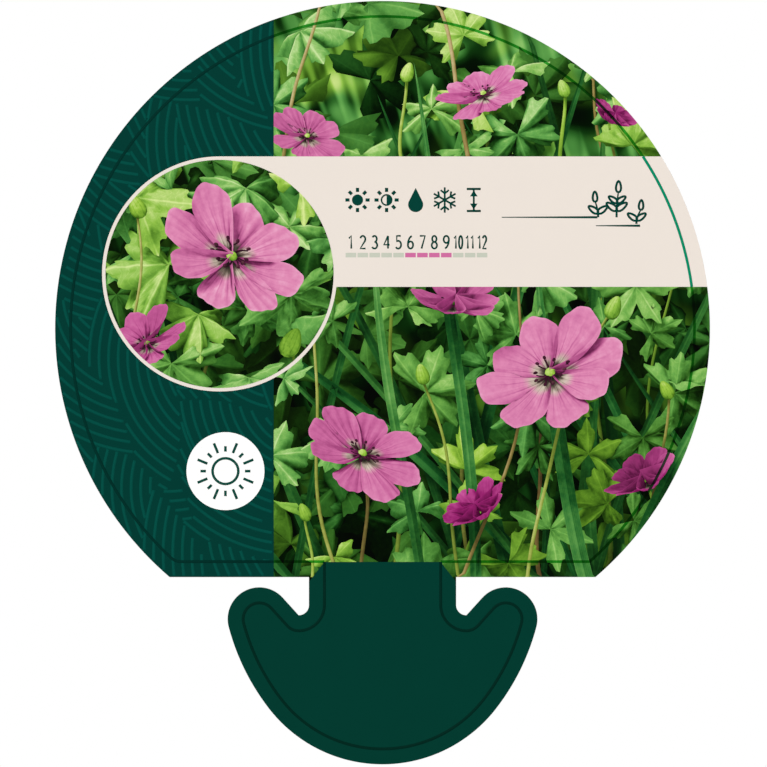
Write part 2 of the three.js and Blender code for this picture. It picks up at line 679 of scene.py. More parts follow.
GREENS = stops_of(
    (0.00, 0, 0, 0),
    (0.09, 0, 16, 0),
    (0.18, 12, 52, 10),
    (0.30, 42, 98, 35),
    (0.43, 70, 132, 58),
    (0.58, 98, 163, 78),
    (0.76, 138, 190, 103),
    (1.00, 192, 221, 154),
)
LIMES = stops_of(
    (0.00, 10, 26, 2),
    (0.12, 34, 66, 10),
    (0.26, 74, 116, 26),
    (0.42, 112, 158, 44),
    (0.64, 152, 194, 66),
    (1.00, 212, 228, 140),
)
BLADES = stops_of(
    (0.00, 0, 8, 2),
    (0.13, 2, 36, 10),
    (0.27, 20, 78, 30),
    (0.42, 52, 118, 52),
    (0.60, 92, 154, 76),
    (1.00, 164, 206, 136),
)
STALKS = stops_of(
    (0.00, 26, 12, 10),
    (0.26, 92, 52, 40),
    (0.50, 150, 96, 74),
    (1.00, 214, 176, 150),
)
PINKS = stops_of(
    (0.00, 40, 8, 28),
    (0.17, 108, 36, 78),
    (0.34, 166, 76, 126),
    (0.52, 200, 108, 156),
    (0.72, 220, 136, 176),
    (1.00, 238, 180, 206),
)
MAGENTAS = stops_of(
    (0.00, 24, 0, 16),
    (0.16, 82, 8, 54),
    (0.34, 146, 32, 104),
    (0.56, 190, 74, 144),
    (1.00, 236, 158, 202),
)
PALES = stops_of(
    (0.00, 16, 22, 12),
    (0.30, 104, 108, 82),
    (0.60, 196, 196, 168),
    (1.00, 240, 238, 218),
)
DARKS = stops_of(
    (0.00, 18, 4, 12),
    (0.40, 70, 26, 48),
    (1.00, 160, 100, 110),
)

# The brightest parts get this much light, which is the end of the ramps
FULL_LIGHT = 1.25

# From this height up the picture gets brighter, the sharp plants slowly and the blurred ground faster
BRIGHT_FROM = 46.0
BRIGHT_PLANTS_AT = 72.0
BRIGHT_GROUND_AT = 60.0

# What the see-through ink of the thin line inside the edge leaves of the picture's red, green and blue
OVERPRINT = (0.06, 0.43, 0.09, 1.0)


def overprinted(g, place, colour):
    """The picture's colour, darkened where the thin line runs over it."""
    x, _, z = g.split_xyz(place)
    reach = g.measure("DISTANCE", place, (HEAD_CENTRE[0], FRONT_Y, HEAD_CENTRE[1]))
    beyond = g.largest(reach - (HEAD_RADIUS - KEYLINE_INSET), KEYLINE_INSET - z)
    beside_tongue = g.largest(g.abs(x) > TONGUE_PRINT_HALF, z > HEAD_CENTRE[1])
    on_line = (g.abs(beyond) < KEYLINE_WIDTH / 2) * beside_tongue
    return g.mix(on_line, colour, OVERPRINT, "MULTIPLY")


def painted(name, stops, lines, second=None, foot=None, sky=0.50, sun=0.62, glow=0.30):
    """A picture paint. The light on a part picks its colour from the stops, and lines darken or lighten it.

    The part's hue mixes in the second stops, and near its foot it takes its colour from the foot's stops."""
    made, shader, g = new_material(name)
    place = object_position(g)
    grain = g.noise(place, 1.6, detail=5.0, roughness=0.7) - 0.5
    light = g.attribute("sky") * sky + g.attribute("sunlight") * sun + g.attribute("glow") * glow
    marks = lines(g, g.attribute("across"), g.attribute("along"), place)
    nearness = g.smooth(g.attribute("depth"), FAR_DEPTH, NEAR_DEPTH)
    clearness = 0.35 + 0.65 * nearness
    light = light * (1.0 + marks * clearness) + grain * 0.16
    brightness = 1.0 + 0.20 * g.smooth(g.split_xyz(place)[2], BRIGHT_FROM, BRIGHT_PLANTS_AT)
    light = light * g.attribute("tone") * (0.26 + 0.74 * nearness) * brightness
    light = light / FULL_LIGHT
    colour = g.ramp(light, stops)
    if second:
        hue = g.clamp(g.attribute("hue") + g.attribute("glow") * 0.8 + grain * 0.3)
        colour = g.mix(hue, colour, g.ramp(light, second))
    if foot:
        along = g.attribute("along") + grain * 0.12
        colour = g.mix(g.smooth(along, 0.42, 0.24) * 0.8, colour, g.ramp(light, foot))
    g.feed(shader.inputs["Base Color"], overprinted(g, place, colour))
    g.feed(shader.inputs["Roughness"], INK_ROUGHNESS + grain * 0.1)
    return made


def lobed_veins(g, u, v, place):
    """One vein up the middle of each lobe, and ribs that fork from it."""
    middle = g.abs(g.sin(u * LEAF_FAN * (LOBE_TURNS / 2)))
    vein = g.smooth(middle * v, 0.075, 0.01)
    ribs = g.smooth(g.abs(g.sin((v - middle * 0.5) * 22.0)), 0.35, 0.0) * g.smooth(middle, 0.0, 0.3)
    puckers = (g.noise(place, 1.1, detail=3.0) - 0.5) * 0.5
    return vein * 0.24 + ribs * 0.12 + puckers - g.smooth(v, 0.4, 0.0) * 0.35 - g.smooth(v, 0.9, 1.0) * 0.06


def blade_lines(g, u, v, place):
    """Fine lengthwise nerves, one half darker than the other, and a bright edge."""
    nerves = g.sin(u * 26.0 + g.sin(v * 3.0)) * 0.035
    patches = (g.noise(place, 0.35, detail=3.0) - 0.5) * 0.7
    return patches + nerves - g.smooth(u, -0.05, 0.12) * 0.30 + g.smooth(g.abs(u), 0.86, 1.0) * 0.14


def stalk_lines(g, u, v, place):
    return (g.noise(place, 1.0) - 0.5) * 0.5 + g.sin(v * 90.0) * 0.02


def petal_lines(g, u, v, place):
    """Dark veins that run out from a petal's base, and its dark eye."""
    wander = (g.noise(place, 0.7) - 0.5) * 1.1
    spread = u * 9.0 + wander * v
    vein = g.smooth(g.abs(g.sin(spread)), 0.30, 0.0)
    fine = g.smooth(g.abs(g.sin(spread * 3.0 + 0.7)), 0.55, 0.0)
    fade = g.smooth(v, 1.02, 0.25)
    rim = g.smooth(v, 0.94, 1.0) + g.smooth(g.abs(u), 0.90, 1.0) * 0.5
    eye = g.smooth(v, 0.24, 0.10)
    flush = (g.noise(place, 0.8, detail=4.0) - 0.5) * 0.5
    return flush + rim * 0.12 - vein * fade * 0.40 - fine * 0.16 * fade - eye * 0.85


def bud_lines(g, u, v, place):
    """Ribs that run from a bud's foot to its tip, and a dark foot."""
    turn = u * math.pi
    height = g.cos(turn) * v
    meridian = g.sin(turn) * v / g.largest(1.0 - height * height, 0.05) ** 0.5
    ribs = g.smooth(g.abs(g.sin(meridian * 7.0)), 0.5, 0.0)
    return (g.noise(place, 2.0) - 0.5) * 0.5 - ribs * 0.22 - g.smooth(height, -0.4, -1.0) * 0.35


def heart_lines(g, u, v, place):
    return (g.noise(place, 3.0) - 0.5) * 0.6


def blurred_foliage(name):
    """The ground of the picture: foliage too far off to be sharp, as soft spots and streaks on near-black."""
    made, shader, g = new_material(name)
    place = object_position(g)
    inputs = {"Vector": place, "Scale": 0.24, "Smoothness": 1.0}
    spots = g.get("ShaderNodeTexVoronoi", inputs, "Distance", feature="SMOOTH_F1")
    clouds = g.noise(place, 0.09, detail=2.0)
    streaks = g.noise(g.vector("MULTIPLY", g.turned(place, "Y", 0.3), (0.42, 0.0, 0.05)), 1.0, detail=1.0)
    soft = g.smooth(spots, 0.70, 0.10) * g.smooth(clouds, 0.36, 0.58) + g.smooth(streaks, 0.46, 0.66) * 0.7
    high = g.smooth(g.split_xyz(place)[2], BRIGHT_FROM, BRIGHT_GROUND_AT)
    light = (soft * (0.19 + 0.51 * high) + 0.015 + 0.035 * high) / FULL_LIGHT
    hue = g.smooth(g.noise(place, 0.11, detail=1.0), 0.50, 0.66) * 0.8
    colour = g.mix(hue, g.ramp(light, GREENS), g.ramp(light, LIMES))
    g.feed(shader.inputs["Base Color"], overprinted(g, place, colour))
    g.feed(shader.inputs["Roughness"], INK_ROUGHNESS + (clouds - 0.5) * 0.1)
    return made


def plant_kinds():
    """Each layer's paint, and the trees that grow its plant parts and press them."""
    leaf = painted("leaf_green", GREENS, lobed_veins, LIMES)
    blades = painted("blade_green", BLADES, blade_lines, LIMES, sky=0.40, sun=0.60)
    stalks = painted("stalk_green", STALKS, stalk_lines, LIMES)
    petals = painted("petal_pink", PINKS, petal_lines, MAGENTAS, PALES, sky=0.46, sun=0.48, glow=0.3)
    buds = painted("bud_green", GREENS, bud_lines, LIMES, sky=0.58, sun=0.5)
    heart = painted("heart_dark", DARKS, heart_lines, LIMES)
    kinds = {
        "far_leaves": (lobed_leaf, leaf),
        "near_leaves": (lobed_leaf, leaf),
        "blades": (blade, blades),
        "stalks": (stalk, stalks),
        "buds": (dome, buds),
        "petals": (petal, petals),
        "stamens": (stalk, heart),
        "pollen": (dome, heart),
    }
    return {name: {
        "paint": paint,
        "growing": growing_tree(name + "_growing", shape, paint),
        "pressing": pressing_tree(name + "_pressing", paint),
    } for name, (shape, paint) in kinds.items()}


# ---- The picture's layout ----

PETALS = 8
STAMENS = 10


def blossom(x, z, size, tilt, heading, depth=6.0, tone=1.0, hue=0.0, lift=0.12):
    """A blossom's place and petal length in millimetres, and how it is turned, in degrees."""
    return {"x": x, "z": z, "size": size, "tilt": math.radians(-tilt), "heading": math.radians(heading),
            "depth": depth, "tone": tone, "hue": hue, "lift": lift}


def bud(x, z, size, heading, depth, tone, hue):
    """A blossom that is still closed. Its size is half its length."""
    return blossom(x, z, size, 0.0, heading, depth, tone, hue)


PICTURE_BLOSSOMS = [
    blossom(23.0, 27.2, 10.2, 40, 18, 6.0),
    blossom(-3.0, 16.2, 8.8, 52, -24, 5.0, 0.96, 0.25),
    blossom(13.8, 65.2, 6.4, 60, 14, 3.0, 0.92, 0.5),
    blossom(9.6, 36.6, 6.6, 62, -10, 2.0, 0.86, 0.3, 0.3),
    blossom(36.0, 12.6, 5.6, 62, 30, 1.0, 0.82, 0.6, 0.35),
    blossom(-10.4, 59.6, 5.6, 48, -20, 2.0, 0.82, 0.2),
    blossom(13.6, 8.4, 5.0, 66, 34, 1.0, 0.80, 1.0, 0.4),
    blossom(31.0, 62.0, 3.6, 64, -30, -1.0, 0.66, 0.8, 0.4),
]
INSET_BLOSSOMS = [
    blossom(-20.8, 43.0, 10.6, 38, -26, 6.0, 1.16),
    blossom(-31.8, 31.4, 6.2, 54, 26, 2.0, 0.86, 0.5, 0.16),
]
PICTURE_BUDS = [
    bud(5.4, 27.6, 1.5, 14, -1.0, 1.0, 0.9),
    bud(31.4, 36.6, 1.7, -22, 0.0, 1.0, 0.8),
    bud(38.6, 25.4, 1.4, 30, -3.0, 0.9, 1.0),
    bud(3.4, 68.6, 1.4, -16, -2.0, 1.0, 0.9),
    bud(24.6, 66.4, 1.3, 20, -4.0, 0.95, 0.8),
    bud(-10.6, 8.8, 1.3, 24, -2.0, 0.9, 0.9),
]
INSET_BUDS = [
    bud(-12.4, 31.8, 2.2, -24, 0.0, 1.05, 0.9),
    bud(-33.4, 50.4, 1.8, 28, -4.0, 1.0, 1.0),
]

# The depth behind the near leaves, where a blossom's stalk and most tall stalks stand
BEHIND = -21.0

# The tips, as x, z and depth, of stalks whose blossoms the cream band hides, or that rise out of the picture
TALL_STALKS = [{"x": x, "z": z, "depth": depth} for x, z, depth in (
    (1.0, 46.0, BEHIND),
    (19.0, 45.0, 0.0),
    (30.0, 44.0, BEHIND),
    (39.0, 40.0, BEHIND),
    (-9.0, 36.0, -1.0),
    (-8.0, 82.0, 0.0),
    (5.0, 84.0, -1.0),
    (28.0, 78.0, BEHIND),
)]

# Between which heights the stalks end: under the cream band, below the main picture, or below the inset
FEET_UNDER_BAND = (44.0, 50.0)
FEET_BELOW = (-9.0, -3.0)
INSET_FEET = (18.0, 24.0)

# Leaves whose stalk is this far or more under a band are left out
UNDER_CREAM = 4.0
UNDER_SIDE_BAND = 5.0


def bud_rows(buds, rng):
    return [{
        "x": flower["x"], "z": flower["z"], "depth": flower["depth"], "size": flower["size"],
        "spin": flower["heading"], "tilt": rng.uniform(-0.3, 0.3), "tone": flower["tone"],
        "hue": flower["hue"], "bend": 0.28, "wide": 0.62, "seed": rng.uniform(0, 6),
    } for flower in buds]


def turned_about(flower, x, y, z):
    """A point given in a blossom's own frame, in petal lengths, as x, z and depth in the picture."""
    place = Vector((x, y, z)) * flower["size"]
    place.rotate(Matrix.Rotation(flower["heading"], 3, "Z") @ Matrix.Rotation(flower["tilt"], 3, "X"))
    return {"x": flower["x"] + place.x, "z": flower["z"] + place.y, "depth": flower["depth"] + place.z}


def petal_rows(blossoms, rng):
    rows = []
    for flower in blossoms:
        for k in range(PETALS):
            rows.append({
                **turned_about(flower, 0, 0, 0.05 * (k % 2)),
                "size": flower["size"] * rng.uniform(0.93, 1.05),
                "spin": 2 * math.pi * (k + rng.uniform(-0.15, 0.15)) / PETALS,
                "tilt": flower["tilt"] + rng.uniform(-0.05, 0.05),
                "heading": flower["heading"],
                "tone": flower["tone"] * rng.uniform(0.92, 1.04),
                "hue": flower["hue"],
                "bend": flower["lift"] + rng.uniform(-0.10, 0.14),
                "wide": rng.uniform(0.44, 0.52),
                "seed": rng.uniform(0, 6),
            })
    return rows


def stamen_rows(blossoms, rng):
    """Fine dark threads that stand out of each blossom's eye, and the pollen sacs at their ends."""
    threads, sacs = [], []
    for flower in blossoms:
        turned = {"tilt": flower["tilt"], "heading": flower["heading"]}
        for k in range(STAMENS):
            turn = 2 * math.pi * (k + rng.uniform(-0.3, 0.3)) / STAMENS
            reach = rng.uniform(0.17, 0.27)
            threads.append({
                **turned_about(flower, 0, 0, 0.10), **turned, "size": flower["size"] * reach, "spin": turn,
                "tone": 0.30, "wide": 0.075, "bend": rng.uniform(-0.25, 0.25), "seed": rng.uniform(0, 6),
            })
            sacs.append({
                **turned_about(flower, -math.sin(turn) * reach, math.cos(turn) * reach, 0.14), **turned,
                "size": flower["size"] * 0.034, "spin": turn, "tone": rng.uniform(0.25, 0.6), "wide": 0.7,
            })
        sacs.append({
            **turned_about(flower, 0, 0, 0.10), **turned,
            "size": flower["size"] * 0.075, "tone": 1.0, "wide": 1.0, "hue": 1.0,
        })
    return threads, sacs


def stem_rows(tips, rng, feet, rest=None):
    """A stalk for each tip. Close behind its tip it drops back to the rest depth, if there is one."""
    rows = []
    for tip in tips:
        rise = tip["z"] - rng.uniform(*feet(tip))
        start_x = tip["x"] + rng.uniform(-0.30, 0.30) * rise
        length = math.hypot(tip["x"] - start_x, rise)
        top = tip["depth"] - 1.0
        depth = top if rest is None else rest
        rows.append({
            "x": start_x, "z": tip["z"] - rise, "depth": depth, "size": length,
            "heading": math.atan2(start_x - tip["x"], rise), "lift": (top - depth) / length,
            "tone": rng.uniform(0.8, 1.05), "hue": rng.uniform(0.15, 0.95), "bend": rng.uniform(-0.08, 0.08),
            "wide": rng.uniform(0.22, 0.34) / length, "seed": rng.uniform(0, 6),
        })
    return rows


def flower_layers(blossoms, buds, tall, rng, feet):
    """The layers that make up the flowers of a picture, from the stalks at the back to the pollen."""
    threads, sacs = stamen_rows(blossoms, rng)
    stalks = stem_rows(blossoms, rng, feet, BEHIND)
    stalks += stem_rows(buds + tall, rng, feet)
    return {
        "stalks": stalks,
        "buds": bud_rows(buds, rng),
        "petals": petal_rows(blossoms, rng),
        "stamens": threads,
        "pollen": sacs,
    }


def leaf_rows(rng, box, pitch, size, depth, tone=(0.85, 1.05), keep=1.0, lime=0.15, skip=None):
    """Leaves on a shaken grid over box, which is (low x, low z, high x, high z)."""
    rows = []
    for i in range(math.ceil((box[2] - box[0]) / pitch)):
        for j in range(math.ceil((box[3] - box[1]) / pitch)):
            x = box[0] + (i + rng.uniform(0.1, 0.9)) * pitch
            z = box[1] + (j + rng.uniform(0.1, 0.9)) * pitch
            if rng.random() > keep or (skip and skip(x, z)):
                continue
            rows.append({
                "x": x, "z": z, "depth": rng.uniform(*depth), "size": rng.uniform(*size),
                "spin": rng.uniform(-math.pi, math.pi), "tilt": rng.uniform(-1.05, 0.75),
                "heading": rng.uniform(-0.8, 0.8), "tone": rng.uniform(*tone),
                "hue": rng.uniform(0.6, 1.0) if rng.random() < lime else rng.uniform(0.0, 0.25),
                "bend": rng.uniform(0.0, 0.45), "wide": rng.uniform(0.30, 0.56), "seed": rng.uniform(0, 6),
            })
    return rows


def blade_rows(rng, count, box, length, half, depth, lean, tone):
    """Strap leaves that rise from spots in a box, each leaning its own way in degrees."""
    rows = []
    for _ in range(count):
        size = rng.uniform(*length)
        rows.append({
            "x": rng.uniform(box[0], box[2]), "z": rng.uniform(box[1], box[3]), "depth": rng.uniform(*depth),
            "size": size, "spin": math.radians(rng.uniform(*lean)), "tilt": rng.uniform(-0.05, 0.05),
            "tone": rng.uniform(*tone), "hue": rng.uniform(0.0, 0.12), "bend": rng.uniform(-0.22, 0.22),
            "wide": rng.uniform(*half) / size, "seed": rng.uniform(0, 6),
        })
    return rows


def window_of(centre, radius, floor):
    return {"Window X": centre[0], "Window Z": centre[1], "Window radius": radius, "Window floor": floor}


def feet_of(tip):
    """Between which heights a stalk of the main picture ends."""
    return FEET_UNDER_BAND if tip["z"] > CREAM_TOP else FEET_BELOW


def hidden(x, z):
    """Where the cream band or the side band covers the picture."""
    under_cream = CREAM_BOTTOM + UNDER_CREAM < z < CREAM_TOP - UNDER_CREAM
    return under_cream or x < SIDE_BAND_EDGE - UNDER_SIDE_BAND


def cleared(x, z):
    """Where no far leaf grows: the covered places, and clearings that show the blurred ground."""
    return hidden(x, z) or (z > CREAM_TOP and math.sin(x * 0.24 + 0.6) * math.cos(z * 0.21) > 0.1)


def plant_picture(kinds):
    rng = random.Random(11)
    box = (SIDE_BAND_EDGE - 2, -3, 45, 80)
    far = leaf_rows(rng, box, 6.6, size=(5.5, 9.0), depth=(-38, -28), lime=0.08, skip=cleared)
    near = leaf_rows(rng, box, 8.2, size=(4.5, 8.0), depth=(-14, -6), keep=0.85, lime=0.16, skip=hidden)
    blades = blade_rows(rng, 22, (-14, -14, 60, -3), length=(34, 96), half=(0.4, 1.0), depth=(-26, -18),
                        lean=(-22, 48), tone=(0.75, 1.0))
    blades += blade_rows(rng, 6, (-10, -14, 60, -3), length=(40, 96), half=(0.6, 1.2), depth=(-3, -1),
                         lean=(-36, 30), tone=(0.85, 1.05))
    flowers = flower_layers(PICTURE_BLOSSOMS, PICTURE_BUDS, TALL_STALKS, rng, feet_of)
    layers = {"far_leaves": far, "near_leaves": near, "blades": blades, **flowers}
    window = window_of(HEAD_CENTRE, HEAD_RADIUS, 0.0)
    paint_picture("picture_", kinds, layers, PICTURE_GRIDS, window, PICTURE_GROUND)


def plant_inset(kinds):
    rng = random.Random(5)
    x, z = INSET_CENTRE
    box = (x - INSET_RADIUS, z - INSET_RADIUS, x + INSET_RADIUS, z + INSET_RADIUS)
    film("inset_ground", [circle(INSET_CENTRE, INSET_RADIUS)], FINE_PRINT, blurred_foliage("inset_ground"))
    far = leaf_rows(rng, box, 5.6, size=(6.0, 9.0), depth=(-36, -27), tone=(1.0, 1.25), lime=0.15)
    near = leaf_rows(rng, box, 7.6, size=(6.5, 10.5), depth=(-15, -7), tone=(0.95, 1.15), lime=0.35,
                     keep=0.85)
    blades = blade_rows(rng, 7, (x - 20, z - 22, x + 12, z - 17), length=(30, 50), half=(0.5, 1.1),
                        depth=(-24, -10), lean=(4, 34), tone=(0.7, 1.0))
    flowers = flower_layers(INSET_BLOSSOMS, INSET_BUDS, [], rng, lambda tip: INSET_FEET)
    layers = {"far_leaves": far, "near_leaves": near, "blades": blades, **flowers}
    window = window_of(INSET_CENTRE, INSET_RADIUS, z - 2 * INSET_RADIUS)
    paint_picture("inset_", kinds, layers, INSET_GRIDS, window, FINE_PRINT)


# ---- Lines of ink, drawn by geometry nodes along their paths ----


def ribbon_tree(material):
    """Gives paths, in millimetres in the label's plane, a flat ribbon of ink in front of the label."""
    g, given = geometry_tree("line_of_ink", {"Line width": "Float", "Film top": "Float"})
    path = g.get("GeometryNodeMeshToCurve", {"Mesh": given["Geometry"]})
    path = g.get("GeometryNodeSetCurveNormal", {"Curve": path}, mode="Z_UP")
    half = given["Line width"] / 2
    ends = {"Start": g.join_xyz(-half, 0.0, 0.0), "End": g.join_xyz(half, 0.0, 0.0)}
    nib = g.get("GeometryNodeCurvePrimitiveLine", ends)
    inputs = {"Curve": path, "Profile Curve": nib, "Scale": named(g, "swell")}
    ribbon = g.get("GeometryNodeCurveToMesh", inputs)
    x, z, lift = g.split_xyz(g.get("GeometryNodeInputPosition"))
    place = g.join_xyz(x * MM, (FRONT_Y - given["Film top"] - lift) * MM, z * MM)
    ribbon = g.get("GeometryNodeSetPosition", {"Geometry": ribbon, "Position": place})
    return end_tree(g, ribbon, material)


def draw_lines(name, paths, width, top, material, base):
    """Draws every path as a ribbon. A path that ends where it began is closed.

    A path is points (x, z) or (x, z, swell), and the swell widens or thins the line there."""
    points, edges, swell = [], [], []
    for index, path in enumerate(paths):
        closed = math.dist(path[0][:2], path[-1][:2]) < SAME_PLACE
        kept = path[:-1] if closed else path
        first = len(points)
        lift = index % LINE_TURNS * LINE_STEP
        points += [(point[0], point[1], lift) for point in kept]
        swell += [point[2] if len(point) > 2 else 1.0 for point in kept]
        edges += [(first + i, first + i + 1) for i in range(len(kept) - 1)]
        if closed:
            edges.append((len(points) - 1, first))
    mesh = bpy.data.meshes.new("paths")
    mesh.from_pydata(points, edges, [])
    mesh.attributes.new("swell", "FLOAT", "POINT").data.foreach_set("value", swell)
    ribbons = evaluated(ribbon_tree(material), mesh, {"Line width": width, "Film top": top})
    pressed_film(name, ribbons, material, base)


def distances(points, outline):
    """How far each point is from a closed outline."""
    start = np.array(outline)
    step = np.roll(start, -1, axis=0) - start
    offset = np.array(points)[:, None] - start
    along = np.clip((offset * step).sum(-1) / (step * step).sum(-1), 0, 1)
    return np.linalg.norm(offset - along[..., None] * step, axis=-1).min(axis=1)


def parallel(outline, distance, step=math.radians(6), square=math.radians(80)):
    """The path at a distance inside a closed counter-clockwise outline, or outside it where it is negative.

    It goes round the corners that it would leave open in an arc, and makes a corner there if they are
    square."""
    found = []
    for i, here in enumerate(outline):
        before = Vector(here) - Vector(outline[i - 1])
        after = Vector(outline[(i + 1) % len(outline)]) - Vector(here)
        inward = [Vector((-side.y, side.x)).normalized() for side in (before, after)]
        turn = math.atan2(inward[0].cross(inward[1]), inward[0].dot(inward[1]))
        if turn * distance >= 0 or abs(turn) > square:
            mitre = (inward[0] + inward[1]) / (1 + inward[0].dot(inward[1]))
            found.append(tuple(Vector(here) + mitre * distance))
            continue
        count = max(1, math.ceil(abs(turn) / step))
        for k in range(count + 1):
            aside = inward[0].copy()
            aside.rotate(Matrix.Rotation(turn * k / count, 2))
            found.append(tuple(Vector(here) + aside * distance))
    slack = 0.02
    clear = distances(found, outline) > abs(distance) - slack
    return [point for point, good in zip(found, clear) if good]


def crossing(a, b, region, halvings=10):
    """The point between two neighbours on a path where the region's name changes."""
    start, end = Vector(a), Vector(b)
    name = region(*a)
    for _ in range(halvings):
        middle = (start + end) / 2
        if region(*middle) == name:
            start = middle
        else:
            end = middle
    return tuple(start)


def stretches(path, region):
    """Cuts a closed path where it enters another region. Gives (name, points) for each stretch."""
    names = [region(*point) for point in path]
    count = len(path)
    first = next((i for i in range(count) if names[i] != names[i - 1]), None)
    if first is None:
        return [(names[0], path + path[:1])]
    found = []
    for k in range(count):
        i = (first + k) % count
        if names[i] != names[i - 1]:
            edge = crossing(path[i - 1], path[i], region)
            if found:
                found[-1][1].append(edge)
            found.append((names[i], [edge]))
        found[-1][1].append(path[i])
    found[-1][1].append(found[0][1][0])
    return found


def lay_keyline():
    """The thin line that runs inside the whole edge, in a darker shade of each flat ground that it crosses.

    Over the picture it is see-through, and the picture's own paints darken there."""
    path = parallel(OUTLINE, KEYLINE_INSET + KEYLINE_CORNER)
    path = parallel(path, -KEYLINE_CORNER)
    inks = {"band": srgb(0, 47, 40), "tongue": srgb(0, 40, 31), "cream": srgb(4, 137, 99)}

    def ground(x, z):
        if z < 0 or (z < TONGUE_PRINT_TOP and abs(x) < NECK_HALF):
            return "tongue"
        if x < SIDE_BAND_EDGE:
            return "band"
        return "cream" if CREAM_BOTTOM < z < CREAM_TOP else "picture"

    found = stretches(path, ground)
    for crossed, colour in inks.items():
        paths = [points for name, points in found if name == crossed]
        ink = flat_ink("keyline_on_" + crossed, colour)
        draw_lines("keyline_" + crossed, paths, KEYLINE_WIDTH, FINE_PRINT, ink, ON_FLAT)


# The side band's waves lie in leaf-shaped bundles, by turns steep and flat. Each covers those before it.
BUNDLES_FROM = (-48.0, -3.0)
BUNDLE_PITCH = (10.5, 9.5)
BUNDLE_STAGGER = 0.4
BUNDLE_COLUMNS = 4
BUNDLE_ROWS = 9
BUNDLE_HALF_LENGTH = (12.5, 16.0)
BUNDLE_HALF_WIDTH = (4.4, 5.6)
BUNDLE_ANGLES = (-70.0, -38.0)

# How far a bundle may lie off its place, and off its angle in degrees
BUNDLE_SHAKE = 1.2
BUNDLE_TWIST = 8.0

# Bundles that fill what the others leave open: centre x and z, half length, half width and angle
FILLING_BUNDLES = [(-34.0, 40.0, 90.0, 60.0, -62.0), (-12.0, 20.0, 70.0, 26.0, -40.0)]

FIRST_WAVE = 0.05
WAVE_PITCH = 1.3
WAVE_WIDTH = 0.42
WAVE_STEP = 0.5
WAVE_MARGIN = 0.2
SHORTEST_WAVE = 2.0


def wave_bundles():
    """Each bundle's centre x and z, half length, half width and angle."""
    rng = random.Random(8)

    def shaken(value, limit):
        return value + rng.uniform(-limit, limit)

    bundles = []
    for row in range(BUNDLE_ROWS):
        for column in range(BUNDLE_COLUMNS):
            place = column + BUNDLE_STAGGER * (row % 2)
            x = shaken(BUNDLES_FROM[0] + BUNDLE_PITCH[0] * place, BUNDLE_SHAKE)
            z = shaken(BUNDLES_FROM[1] + BUNDLE_PITCH[1] * row, BUNDLE_SHAKE)
            angle = shaken(BUNDLE_ANGLES[(row + column) % 2], BUNDLE_TWIST)
            half_length = rng.uniform(*BUNDLE_HALF_LENGTH)
            half_width = rng.uniform(*BUNDLE_HALF_WIDTH)
            bundles.append((x, z, half_length, half_width, angle))
    rng.shuffle(bundles)
    return FILLING_BUNDLES + bundles


def lay_waves():
    """Curves that follow one long side of each bundle, over the bare part of the side band."""
    sizes = wave_bundles()
    bundles = []
    for x, z, half_length, half_width, angle in sizes:
        radius = (half_length**2 + half_width**2) / (2 * half_width)
        aside = Vector((0.0, radius - half_width))
        aside.rotate(Matrix.Rotation(math.radians(angle), 2))
        bundles.append(((x + aside.x, z + aside.y), (x - aside.x, z - aside.y), radius))

    def inside(bundle, x, z, margin=0.0):
        reach = bundle[2] + margin
        return math.dist((x, z), bundle[0]) < reach and math.dist((x, z), bundle[1]) < reach

    def on_bare_band(x, z):
        if x > SIDE_BAND_EDGE - WAVE_MARGIN or z < WAVE_MARGIN:
            return False
        if CREAM_BOTTOM < z < CREAM_TOP and x > INSET_CENTRE[0]:
            return False
        clear_of_inset = math.dist((x, z), INSET_CENTRE) >= INSET_RADIUS + RING_WIDTH + WAVE_MARGIN / 2
        return clear_of_inset and math.dist((x, z), HEAD_CENTRE) <= HEAD_RADIUS - WAVE_MARGIN

    def shown(x, z, index):
        """Whether a point of a bundle's curves is on the bare band and under no later bundle."""
        if not on_bare_band(x, z) or not inside(bundles[index], x, z):
            return False
        return not any(inside(later, x, z, WAVE_WIDTH / 2) for later in bundles[index + 1:])

    fewest_points = SHORTEST_WAVE / WAVE_STEP
    paths = []
    for index, (centre, _, outer) in enumerate(bundles):
        half_width = sizes[index][3]
        for ring in range(int(2 * half_width / WAVE_PITCH) + 1):
            radius = outer - FIRST_WAVE - ring * WAVE_PITCH
            ring_points = circle(centre, radius, step=math.degrees(WAVE_STEP / radius))
            found = stretches(ring_points, lambda px, pz: shown(px, pz, index))
            paths += [points for visible, points in found if visible and len(points) > fewest_points]
    waves = flat_ink("wave_green", srgb(2, 76, 66))
    draw_lines("side_band_waves", paths, WAVE_WIDTH, WAVE_TOP, waves, ON_FLAT)


# ---- Pictograms and numbers ----


def ray_paths(centre, inner, outer, count, start=0.0):
    """Short straight lines that point away from a centre."""
    paths = []
    for k in range(count):
        way = way_at(math.radians(start) + 2 * math.pi * k / count)
        paths.append([tuple(Vector(centre) + way * reach) for reach in (inner, outer)])
    return paths


def ring_path(centre, radius, swell=1.0):
    path = [(x, z, swell) for x, z in circle(centre, radius, step=9)]
    return path + path[:1]


def drop_shape(centre, height):
    """A drop of water: a round foot whose sides meet in a point above it."""
    radius = height * 0.31
    foot = (centre[0], centre[1] - height / 2 + radius)
    return circle(foot, radius, -205, 25, 8) + [(centre[0], centre[1] + height / 2)]


def snow_paths(centre, reach):
    """Six arms from the centre, each with a small fork near its end, in a finer line."""
    fine = 0.58
    paths = []
    for k in range(6):
        way = way_at(math.pi / 6 + math.pi * k / 3)
        paths.append([(*centre, fine), (*(Vector(centre) + way * reach), fine)])
        fork = Vector(centre) + way * reach * 0.52
        for lean in (0.9, -0.9):
            aside = way.copy()
            aside.rotate(Matrix.Rotation(lean, 2))
            paths.append([(*fork, fine), (*(fork + aside * reach * 0.42), fine)])
    return paths


